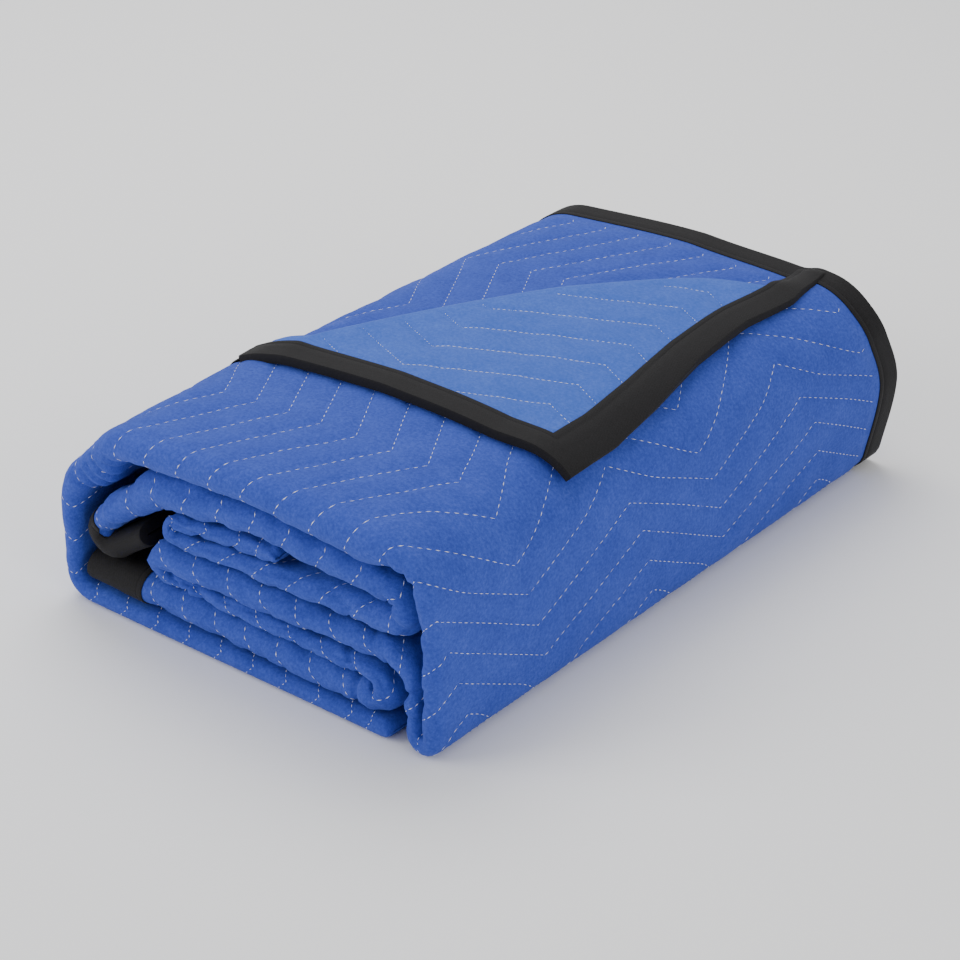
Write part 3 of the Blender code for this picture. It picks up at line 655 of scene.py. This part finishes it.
def far_fold(on_outer, on_inner):
    """The turn from the outer strip's columns to the inner strip's, closed at both ends."""
    profiles = []
    for one, other in zip(on_outer, on_inner):
        a, b = outer_grid[one, outer_edge + 1], inner_grid[other, inner_edge + 1]
        middle, arm = (a + b) / 2, (a - b) / 2
        reach = np.array([0.0, np.linalg.norm(arm), 0.0])
        turned = middle + np.cos(FAR_TURNS) * arm + np.sin(FAR_TURNS) * reach
        cloth = np.broadcast_to([outer_places[one], SECOND_END, 1.0], turned.shape)
        profiles.append([*outer_index[one, [outer_edge, outer_edge + 1]],
                         *blanket.add(turned, cloth),
                         *inner_index[other, [inner_edge + 1, inner_edge]]])
    profiles = np.array(profiles)
    last = profiles.shape[1] - 1
    blanket.skin(profiles, (slice(None), [0, last - 1]))
    centre = (last + 1) // 2
    for ring in profiles[[0, -1]].tolist():
        blanket.faces += [[ring[0], ring[j], ring[j + 1]] for j in range(1, centre)]
        blanket.faces.append([ring[0], ring[centre], ring[-1]])
        blanket.faces += [[ring[-1], ring[j], ring[j + 1]] for j in range(centre, last - 1)]


# At the far end the cloth turns back from the outer strip to the inner one in two folds.
pairs = []
for outer_folds, inner_folds, left, right in (
        (("top right edge", "left shoulder"), ("slope", "loop, above"), -60.0, 118.0),
        (("left nose, above", "inner corner"), ("dip", "tuck, below"), -55.0, 45.0)):
    on_outer = between(outer, outer_places, outer_folds, left, right)
    on_inner = between(inner, inner_places, inner_folds, left, right)
    count = min(len(on_outer), len(on_inner))
    pairs.append((on_outer[:count], on_inner[:count]))
for index, edge, side in ((outer_index, outer_edge, 0), (inner_index, inner_edge, 1)):
    joined = [column for pair in pairs for column in sorted(pair[side])[:-1]]
    blanket.skin(index, (joined, edge))
for index in (outer_index, inner_index):
    blanket.close_ends(index)
for on_outer, on_inner in pairs:
    far_fold(on_outer, on_inner)


# ----------------------------------------------------------------------
# The turned corner: the top sheet folded back over the pile, paler back uppermost. Its two legs
# are the blanket's own bound edges, and it rolls over the crease into the top sheet.

CORNER_GAP, CORNER_LOFT, EMBED = 1.8, 3.0, 3.0
CORNER_REACH, SINK_FROM = 277.0, 232.0
TIP_BACK, TIP_LIFT, TIP_WIDTH, TIP_LENGTH = 4.0, 4.0, 55.0, 90.0
FLAT_SPAN, FLAT_WIDTH, FLAT_LOFT, FLAT_THIN = (225.0, 90.0), 75.0, 0.8, 1.6  # at the far edge
LEG_BOW = [(0, 0), (60, 4), (120, 3), (185, -1), (255, 0), (313, 6), (345, 3), (380, 0)]
LEG_BOW_WIDTH = 90.0
BACK_FIRST, BACK_PITCH, BACK_RUN, BACK_SWING, BACK_TURN = 27.0, 36.0, 110.0, 29.0, 45.0
BACK_DEPTH, BACK_DEPTH_WIDTH, BACK_POWER = 1.5, 4.0, 1.5
BACK_SPAN = (19.0, 6.0)  # its relief starts beside the legs' tapes
BACK_SOFT, BACK_FINE = Waves(0.5, 12.0, 12.0, 9.0), Waves(0.15, 3.5, 3.5, 0.0)

top_s = np.arange(top_right - 30.0, shoulder + 60.0, 1.0)
top_x = outer.of(outer.x, top_s) + outer.of(outer.hz, top_s) * outer.of(outer.halves[-1], top_s)


def over_top(x, y, height):
    """Points above the top's outside at places of the plan, measured square to it."""
    s = np.interp(-x, -top_x, top_s)
    step = STEP_DOWN * turned_back(outer, s, y)
    offset = outer.of(outer.halves[-1], s) - step
    return outer.at(s, y, -(offset + height))


def on_corner(a, b, height):
    """Points over the top, from the turned corner's tip along its two legs. The side leg bows,
    and the tip stands off the rounded edge that it lies across."""
    at_tip = (1 - smooth(a / TIP_WIDTH)) * (1 - smooth(b / TIP_LENGTH))
    bow = np.interp(b, *zip(*LEG_BOW)) * (1 - smooth(a / LEG_BOW_WIDTH))
    a, b = a - bow, b + TIP_BACK * at_tip
    return over_top(CORNER_TIP.x + FRONT_LEG.x * a + SIDE_LEG.x * b,
                    CORNER_TIP.y + FRONT_LEG.y * a + SIDE_LEG.y * b, height + TIP_LIFT * at_tip)


def corner_heights(a, share):
    """The underside and the upper face of the turned corner above the top. It lies flatter where
    the crease runs out at the far edge, and sinks into the top at the other end."""
    sink = rise(a, SINK_FROM, CORNER_REACH - SINK_FROM)
    flat = rise(share * crease(a), *FLAT_SPAN) * (1 - smooth(a / FLAT_WIDTH))
    loft = CORNER_LOFT * smooth(share) * (1 - sink)
    under = (CORNER_GAP + loft) * (1 - FLAT_LOFT * flat)
    over = under + SHEET - (SHEET - 1) * sink - FLAT_THIN * flat
    return under - (CORNER_GAP + EMBED) * sink, over


def back_row(a):
    """How far the paler back's first seam lies from the front leg. The seams zigzag along it."""
    return BACK_FIRST - BACK_SWING * (1 - 2 * np.abs(((a - BACK_TURN) / BACK_RUN) % 2 - 1))


def back_relief(a, b):
    """How far the quilting raises the paler back."""
    across = np.abs(((b - back_row(a)) / BACK_PITCH + 0.5) % 1 - 0.5) * BACK_PITCH
    raised = -BACK_DEPTH * np.exp(-(across / BACK_DEPTH_WIDTH) ** BACK_POWER)
    raised = raised + waved(BACK_SOFT, a, b) + waved(BACK_FINE, a, b)
    return raised * rise(np.minimum(a, b), *BACK_SPAN)


def back_face(a, b, lift=0.0):
    """Points of the paler back, from the tip along the two legs."""
    height = corner_heights(a, b / crease(a))[1] + back_relief(a, b)
    return on_corner(a, b, height + lift)


def crease_roll(over):
    """The roll at the crease, from inside the top sheet to the upper face: how far past the
    crease, and how high."""
    return np.array([(-6, -EMBED), (2, -EMBED), (5.5, -EMBED + 0.6), (7.6, (over - EMBED) * 0.3),
                     (8.2, (over - EMBED) * 0.55), (7, over - 2.2), (3.5, over - 0.9),
                     (-3, over - 0.1)]).T


CREASE_SHORT = 12.0  # how far both faces stop short of the crease
COARSE = 4  # the underside has one point for this many of the upper face
corner_places = np.concatenate([[0.0, 2.0, 5.0], np.arange(8.0, 264.0, 2.8), [267.0]])
corner_shares = np.concatenate([[0.0, 0.006, 0.016], np.linspace(0.03, 1.0, 100)])
corner_rings, corner_cloths = [], []
for a in corner_places:
    reach = float(crease(a))
    b = corner_shares * (reach - CREASE_SHORT)
    coarse_b = np.append(b[::COARSE], b[-1])
    roll_b, roll_height = crease_roll(corner_heights(a, 1.0)[1])
    corner_rings.append(np.concatenate([
        on_corner(a, coarse_b, corner_heights(a, coarse_b / reach)[0]),
        on_corner(a, roll_b + reach, roll_height),
        back_face(a, b)[::-1]]))
    every_b = np.concatenate([coarse_b, roll_b + reach, b[::-1]])
    corner_cloths.append(np.stack(np.broadcast_arrays(every_b, a, 2.0), axis=1))
blanket.change_look()
corner_index = blanket.add(corner_rings, corner_cloths)
blanket.skin(corner_index)

# The corner's free edge is long and curved, so it is closed in short faces.
ring, last = corner_index[0].tolist(), len(coarse_b) - 1
for k in range(last):
    over = len(ring) - COARSE * k
    blanket.faces.append([ring[k], ring[k + 1], *ring[over - COARSE - 1:over]])
blanket.faces.append(ring[last:len(ring) - COARSE * last])
blanket.faces.append(corner_index[-1].tolist())

cloth = blanket.made("folded_blanket", [blue_face, blue_back])
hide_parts("quilted_cloth")


# ----------------------------------------------------------------------
# The binding: one black polyester twill tape folded over the blanket's edges and sewn along its
# inner side. It is built in the runs that lie at an edge of the folded pile.

HEM = 5.7  # how far in from the tape's side its sewn line and both its banks lie
SMOOTH_ANGLE = 40  # degrees; the tape's own edges stay crisp
NEAR, OVER = TAPE_CLEAR, TAPE_CLEAR + TAPE  # the tape's two faces, above the cloth
TAPE_FACE = [(0, NEAR), (0.1, NEAR + 0.5), (0.9, OVER), (4.2, OVER), (4.9, OVER - 0.3),
             (5.6, OVER), (11, OVER + 0.05), (17, OVER), (21, OVER)]  # inwards from its side
FROM_EDGE = [(FACE_WIDTH - inwards, above) for inwards, above in TAPE_FACE]
UNDER_TAPE = [(8, NEAR), (15, NEAR)]  # back along its underside, from the blanket's edge


def black_twill():
    """Black woven twill: near black, with a fine diagonal rib that catches a dull light."""
    look = new_look("black_polyester_twill", {
        "Roughness": 0.75, "Specular IOR Level": 0.22, "Sheen Weight": 0.03})
    tree = look.node_tree
    where = add_node(tree, "Attribute", attribute_name="cloth").outputs["Vector"]
    ribs = add_node(tree, "TexWave", {"Vector": where, "Scale": 0.34, "Distortion": 0.6,
                                      "Detail": 1.0}, bands_direction="DIAGONAL")
    fuzz = noise(tree, where, scale=0.9, detail=5.0)
    weave = blended(tree, ribs.outputs["Fac"], 0.2, fuzz)
    colour(look, weave, [(0.35, "0C0C0D"), (0.95, "1F1D20")])
    roughen(look, weave, strength=0.6, distance=0.0004)
    return look


twill = black_twill()


def tape(name, lines, stations):
    """A tape from the lines that run along it, which close its section, with both ends closed."""
    sections = np.stack(lines, axis=1)
    steps = np.linalg.norm(np.diff(sections, axis=1, prepend=sections[:, :1]), axis=2)
    across = np.cumsum(steps, axis=1) / MM
    shell = Shell()
    weave = np.stack(np.broadcast_arrays(across, stations[:, None], 3.0), axis=2)
    index = shell.add(sections, weave)
    shell.skin(index)
    shell.close_ends(index)
    piece = shell.made(name, [twill], SMOOTH_ANGLE)
    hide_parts(name.replace("tape_", "binding_"))
    return piece


def end_tape(name, strip):
    """The tape over a strip's bound end: along one sheet, round the nose and back. Its section
    holds places along the strip, depths under the face and distances out past the end."""
    runs = np.concatenate([BOUND_RUNS, np.arange(226.0, FLAT_FROM, -6.0),
                           np.linspace(FLAT_FROM, NOSE_TO, 19),
                           NOSE_TO - np.arange(6.0, 497.0, 14.0)])
    width = bound_width(strip, runs)
    section = [(width - inwards, -above, 0.0) for inwards, above in TAPE_FACE if inwards < HEM]
    section += [((width - HEM) * share, -OVER, 0.0) for share in np.linspace(1.0, 0.04, 16)]
    section += [(0.4, -OVER, 0.5), (0.0, -0.8, 0.9), (0.0, 0.2, OVER), (0.0, 3.0, OVER),
                (0.0, SHEET, OVER), (0.0, SHEET + 0.6, 1.0), (0.3, SHEET + OVER, 0.5),
                (10.0, SHEET + OVER, 0.0), (FACE_WIDTH, SHEET + OVER, 0.0),
                (FACE_WIDTH, SHEET + NEAR, 0.0), (10.0, SHEET + NEAR, 0.0),
                (0.3, SHEET + NEAR, 0.2), (0.0, SHEET, NEAR), (0.0, 0.2, NEAR), (0.4, -NEAR, 0.2)]
    section += [(width * share, -NEAR, 0.0) for share in np.linspace(0.04, 0.96, 12)]
    return tape(name, [face(strip, u, runs, depth, out) for u, depth, out in section], runs)


lower_end = end_tape("tape_lower_end", outer)
upper_end = end_tape("tape_upper_end", inner)

EDGE_DEPTH = 3.0  # how far the far tapes wrap down over the sheet's edge
TIGHTEST_BEND, SHORTEST_RUN, TAPED_END = 12.5, 20.0, 28.0
FAR_STEP = 3.5


def far_tape(name, strip, stations):
    """The tape along the far end of a strip's bound sheet, over its face and its edge."""
    far = FAR_Y + strip.of(strip.far, stations)
    half = strip.of(strip.halves[-1], stations) - PRESSED
    section = [*FROM_EDGE, (-0.5, OVER - 0.1), (-1.0, 0.4), (-OVER, -0.6), (-OVER, -EDGE_DEPTH),
               (-NEAR, -EDGE_DEPTH), (-NEAR, NEAR), *UNDER_TAPE]
    lines = []
    for inwards, above in section:
        y = far - inwards
        offset = half - STEP_DOWN * turned_back(strip, stations, y) + above
        lines.append(strip.at(stations, y, -np.maximum(INSIDE_GAP, offset)))
    return tape(name, lines, stations)


for label, strip in (("outer", outer), ("inner", inner)):
    allowed = (strip.s > TAPED_END) & (-strip.turned <= 1 / TIGHTEST_BEND)
    breaks = np.nonzero(np.diff(allowed.astype(int)))[0] + 1
    number = 0
    for span in np.split(np.arange(len(strip.s)), breaks):
        first, last = strip.s[span[0]], strip.s[span[-1]]
        if allowed[span[0]] and last - first > SHORTEST_RUN:
            number += 1
            stations = np.linspace(first, last, max(3, int((last - first) / FAR_STEP)))
            far_tape(f"tape_far_{label}_{number}", strip, stations)

MITRE = 50.0  # how far from the tip the two legs' tapes share out the corner
LEG_STEP = 3.0
CREASE_END_SPAN = (322.0, 40.0)  # where the side leg's tape comes down off the corner
LAID, LAID_UNDER = 0.9, 2.0  # there it lies over the top and into it
EDGE_FROM, EDGE_RUN, EDGE_DROP = 366.0, 10.0, 3.4  # where it rolls over the far edge


def leg_tape(name, stations, point, level):
    """The tape along a leg of the turned corner. point(along, inwards, height) is a place over
    the top, and level(along, inwards) gives the turned sheet's underside and its upper face."""
    section = [*FROM_EDGE, (-0.5, OVER - 0.1), (-OVER, 0.1), (-OVER, None), (-NEAR, None),
               (-NEAR, NEAR), *UNDER_TAPE]
    lines = []
    for inwards, above in section:  # above is None on the underside
        along = stations + inwards * (1 - np.clip(stations / MITRE, 0.0, 1.0))
        low, high = level(along, max(0.0, inwards))
        lines.append(point(along, inwards, low if above is None else high + above))
    return tape(name, lines, stations)


def front_level(a, b):
    return corner_heights(a, np.minimum(1.0, b / crease(a)))


def side_level(b, a):
    """Beside the side leg, which comes down onto the top where the crease runs out."""
    low, high = front_level(a, b)
    down = rise(b, *CREASE_END_SPAN)
    drop = EDGE_DROP * np.clip((b - EDGE_FROM) / EDGE_RUN, 0.0, 1.0) ** 2
    return low * (1 - down) - LAID_UNDER * down, high + (LAID - high) * down - drop


front_leg = leg_tape("tape_corner_front",
                     np.append(np.arange(0.0, 272.0, LEG_STEP), [274.0, CORNER_REACH]),
                     on_corner, front_level)
side_leg = leg_tape("tape_corner_side",
                    np.append(np.arange(0.0, 372.0, LEG_STEP), [374.0, 377.0]),
                    lambda along, inwards, height: on_corner(inwards, along, height), side_level)

# The front leg's tape goes on down the left side as a tail.
TAIL_START_X, TAIL_CLEAR = -110.0, 0.2
stations = np.arange(float(np.interp(-TAIL_START_X, -top_x, top_s)), shoulder + TAIL_LENGTH,
                     LEG_STEP)
section = [*FROM_EDGE, (0.3, OVER - 0.2), (0.0, NEAR), *UNDER_TAPE]
half = outer.of(outer.halves[-1], stations)
tail = tape("tape_corner_tail",
            [outer.at(stations, tail_line(stations) + inwards, -(half + above + TAIL_CLEAR))
             for inwards, above in section], stations)


# ----------------------------------------------------------------------
# The quilting thread: white polyester lockstitch, in dashes on the blue face and closer on the
# paler back. Each stitch is one small spindle lying in its seam.

STITCH_PITCH, STITCH_LENGTH, STITCH_WIDTH, STITCH_HEIGHT = 6.3, 4.3, 0.85, 0.42
# A stitch's ends lie this far over its seam, and its middle this share of its height higher.
STITCH_LIFT, STITCH_RAISED = 0.12, 0.3
FIRST_ROW, LAST_ROW = 2, 5.0  # rows in from the bound end, and least from the loose end
SEWN_SHOWN, SEWN_INSIDE, SEWN_PAST = 232.0, -200.0, 30.0  # the rows' runs, and past the nose
ROW_SHIFT = 0.37  # of each row's stitches
SIDEWAYS = 1.2  # places this far beside the seam give the stitch its tilt
BACK_STITCH, BACK_STITCH_WIDTH, BACK_STITCH_SHARE, BACK_LIFT = 4.0, 0.75, 0.93, 0.1
BACK_SLANT = 1.13  # a zigzag seam's length over its run
BACK_ROWS, BACK_SEWN = range(-1, 9), (24.0, 262.0)
BACK_SHORT = 13.0  # of the crease


def spindles(shell, start, middle, end, side, up):
    """Spindles of eight faces. side and up are half their width and half their height."""
    middle = middle + up * 2 * STITCH_RAISED
    ring = [middle + side, middle + up, middle - side, middle - up]
    points = np.stack([start, end, *ring], axis=1)
    points[..., 2] = np.maximum(0.0, points[..., 2])
    index = shell.add(points, np.zeros(points.shape))
    for j in range(4):
        k = (j + 1) % 4
        shell.faces += np.stack([index[:, 0], index[:, 2 + j], index[:, 2 + k]], axis=1).tolist()
        shell.faces += np.stack([index[:, 1], index[:, 2 + k], index[:, 2 + j]], axis=1).tolist()


def unit(vectors):
    return vectors / np.maximum(1e-9, np.linalg.norm(vectors, axis=-1, keepdims=True))


def sew(shell, surface, u, run, half_run, width=STITCH_WIDTH):
    """Stitches on a surface(u, run), from run - half_run to run + half_run."""
    start, end = surface(u, run - half_run), surface(u, run + half_run)
    side = unit(surface(u + SIDEWAYS, run) - surface(u - SIDEWAYS, run))
    up = unit(np.cross(side, end - start))
    spindles(shell, start, surface(u, run), end, side * width * MM / 2,
             up * STITCH_HEIGHT * MM / 2)


def back_seam(row, aside, run):
    """Places aside from one of the paler back's seams."""
    return back_face(run, back_row(run) + row * BACK_PITCH + aside, BACK_LIFT)


stitches = Shell()
along_seam = math.hypot(1.0, ZIGZAG_SWING * 2 / ZIGZAG_RUN)
pitch, half_run = STITCH_PITCH / along_seam, STITCH_LENGTH / along_seam / 2
shown_from, shown_to = outer.mark("bottom edge, inside") - 30.0, bottom_left + 20.0
for strip in (outer, inner):
    for u in np.arange(SEAM_PITCH * FIRST_ROW, strip.length - LAST_ROW, SEAM_PITCH):
        shown = strip is outer and shown_from < u < shown_to
        runs = np.arange(NOSE_TO - SEWN_PAST, SEWN_SHOWN if shown else SEWN_INSIDE, pitch)
        runs = runs + (u * ROW_SHIFT) % pitch
        sew(stitches, partial(face, strip, lift=STITCH_LIFT), u, runs, half_run)

back_runs = np.arange(*BACK_SEWN, BACK_STITCH / BACK_SLANT)
for row in BACK_ROWS:
    b = back_row(back_runs) + row * BACK_PITCH
    runs = back_runs[(b < crease(back_runs) - BACK_SHORT) & (b > FACE_WIDTH + 1.0)]
    sew(stitches, partial(back_seam, row), 0.0, runs, BACK_STITCH / 2 * BACK_STITCH_SHARE,
        BACK_STITCH_WIDTH)

# White thread, smoother than the nap, so each stitch reads as a clean pale dash.
white = new_look("white_polyester_thread", {"Base Color": hexcolour("EDEFFB"), "Roughness": 0.6})
thread = stitches.made("quilting_thread", [white])


# ----------------------------------------------------------------------
# The studio: a plain floor, the camera, and three soft lights. The one on the left is the
# strongest, so the noses and the seams shade softly to the right.

bpy.ops.mesh.primitive_plane_add(size=8.0)
floor = bpy.context.active_object
floor.name = "studio_floor"
# Matt white paper gives a soft shadow and no mirror image.
paper = new_look("white_studio_paper", {"Base Color": hexcolour("FCFCFD"), "Roughness": 0.9})
floor.data.materials.append(paper)


def aimed(data, place, direction):
    """A camera or a light at a place, facing a direction."""
    obj = bpy.data.objects.new(data.name, data)
    bpy.context.scene.collection.objects.link(obj)
    obj.location = place
    obj.rotation_euler = direction.to_track_quat("-Z", "Y").to_euler()
    return obj


TARGET = Vector((0.0281, -0.0429, 0.0703))
AZIMUTH, ELEVATION, DISTANCE = math.radians(39.2), math.radians(30.0), 2.38
camera = bpy.data.cameras.new("studio_camera")
camera.lens = 123.75
camera.sensor_width = 36.0
camera.clip_end = 60.0
towards = Vector((math.sin(AZIMUTH) * math.cos(ELEVATION),
                  -math.cos(AZIMUTH) * math.cos(ELEVATION), math.sin(ELEVATION)))
bpy.context.scene.camera = aimed(camera, TARGET + towards * DISTANCE, -towards)

LIT = Vector((0.0, 0.0, 0.08))  # what the lights point at
for name, place, size, watts in (
        ("softbox_above", (-0.7, 0.5, 1.9), 1.6, 29.0),
        ("softbox_left", (-1.6, -1.9, 1.2), 1.5, 31.0),
        ("softbox_right", (2.2, -0.6, 1.0), 1.5, 17.0)):
    light = bpy.data.lights.new(name, "AREA")
    light.shape = "SQUARE"
    light.size = size
    light.energy = watts
    aimed(light, place, LIT - Vector(place))

world = bpy.data.worlds.new("studio_air")
world.use_nodes = True
air = world.node_tree.nodes["Background"].inputs
air["Color"].default_value, air["Strength"].default_value = (1.0, 1.0, 1.0, 1.0), 0.6
bpy.context.scene.world = world
